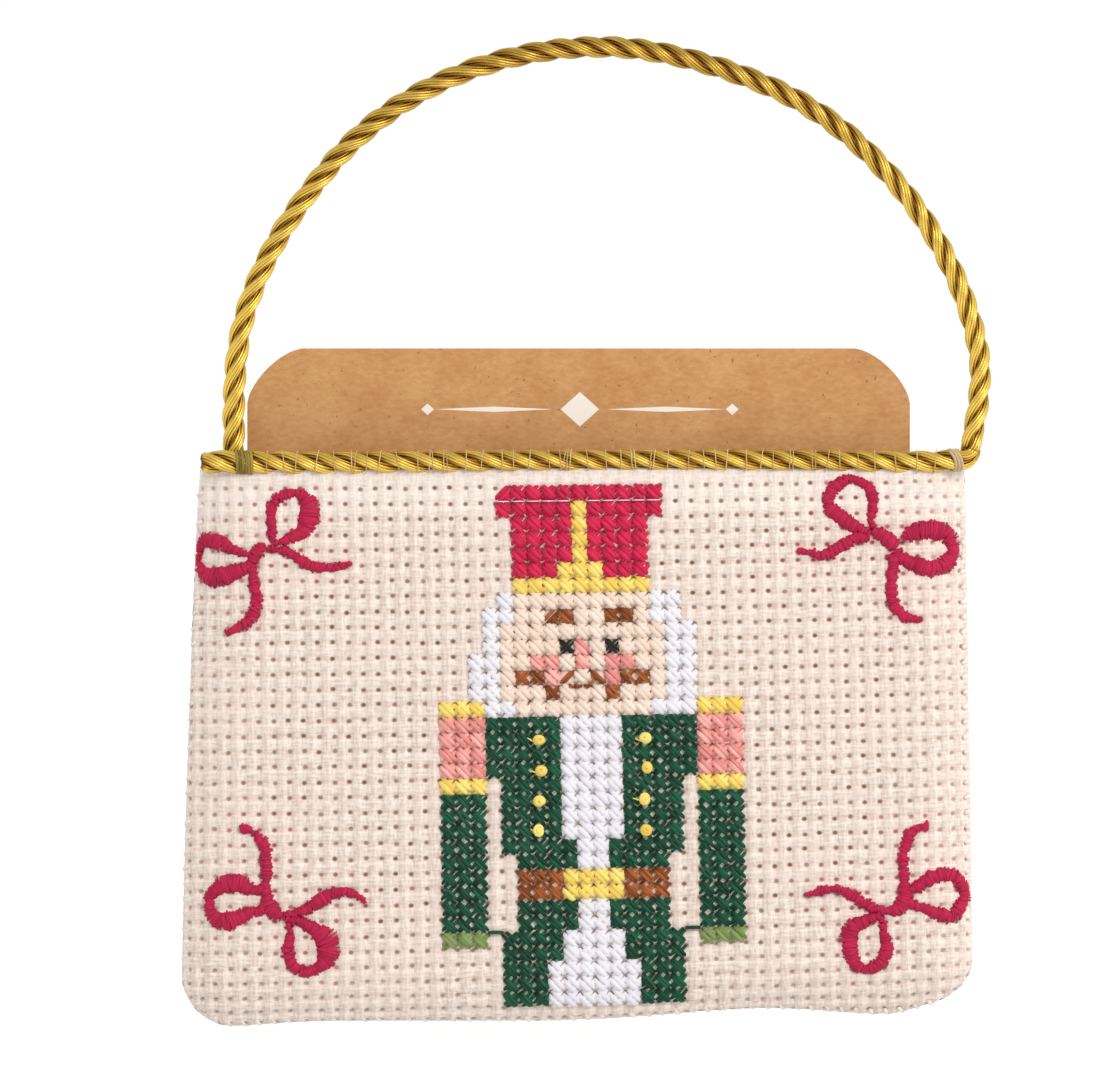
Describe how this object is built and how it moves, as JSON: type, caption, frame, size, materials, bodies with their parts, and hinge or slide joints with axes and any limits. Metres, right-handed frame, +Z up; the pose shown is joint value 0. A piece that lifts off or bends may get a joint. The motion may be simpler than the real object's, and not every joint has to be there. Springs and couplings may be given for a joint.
{
  "type": "gift card holder",
  "caption": "Flat sewn cloth pouch with a cross-stitched soldier doll, gold twisted cord trim and arched cord handle, holding a kraft card that slides out of its open mouth.",
  "frame": {"origin": "under the top of the cord handle, where a hook or a branch carries it", "axes": "+Z up, the embroidered front faces -Y, +X to the viewer's right of that front"},
  "size_m": [0.122, 0.0101, 0.1501],
  "materials": {
    "aida_cloth": "woven counted cotton",
    "lining_cloth": "plain woven cotton",
    "sewing_thread": "spun polyester thread",
    "gold_thread": "wrapped metallic thread",
    "gold_cord": "twisted three-ply metallic cord",
    "kraft_card": "unbleached kraft board",
    "floss_crimson": "stranded cotton floss",
    "floss_gold": "stranded cotton floss",
    "floss_white": "stranded cotton floss",
    "floss_skin": "stranded cotton floss",
    "floss_brown": "stranded cotton floss",
    "floss_black": "stranded cotton floss",
    "floss_pink": "stranded cotton floss",
    "floss_green": "stranded cotton floss",
    "floss_olive": "stranded cotton floss"
  },
  "bodies": {
    "handle": {"handle_cord": "gold_cord"},
    "pouch": {"front_panel": "aida_cloth", "back_panel": "aida_cloth", "front_lining": "lining_cloth", "back_lining": "lining_cloth", "seam_thread": "sewing_thread", "trim_cord": "gold_cord", "trim_whip_stitches": "sewing_thread", "trim_left_bind": "gold_thread", "trim_right_bind": "sewing_thread", "handle_tail": "gold_cord", "tail_tack": "sewing_thread", "hat_crimson": "floss_crimson", "hat_gold_trim": "floss_gold", "hair_white": "floss_white", "face_skin": "floss_skin", "brows_brown": "floss_brown", "eyes_black": "floss_black", "cheeks_pink": "floss_pink", "moustache_brown": "floss_brown", "epaulettes_gold": "floss_gold", "sleeves_pink": "floss_pink", "cuffs_gold": "floss_gold", "arms_green": "floss_green", "gloves_olive": "floss_olive", "coat_green": "floss_green", "shirt_white": "floss_white", "button_knots": "floss_gold", "belt_brown": "floss_brown", "buckle_gold": "floss_gold", "coat_tails_green": "floss_green", "breeches_white": "floss_white", "bow_top_left": "floss_crimson", "bow_top_right": "floss_crimson", "bow_bottom_left": "floss_crimson", "bow_bottom_right": "floss_crimson"},
    "card": {"insert_card": "kraft_card"}
  },
  "joints": [
    {"name": "pouch_swing", "type": "hinge", "parent": "handle", "child": "pouch", "pos_m": [0.0037, -0.00225, -0.05795], "axis": [0.9995, -0.0311, 0], "range_deg": [-90, 90]},
    {"name": "card_slide", "type": "slide", "parent": "pouch", "child": "card", "axis": [0, 0, 1], "range_m": [0, 0.083]}
  ]
}
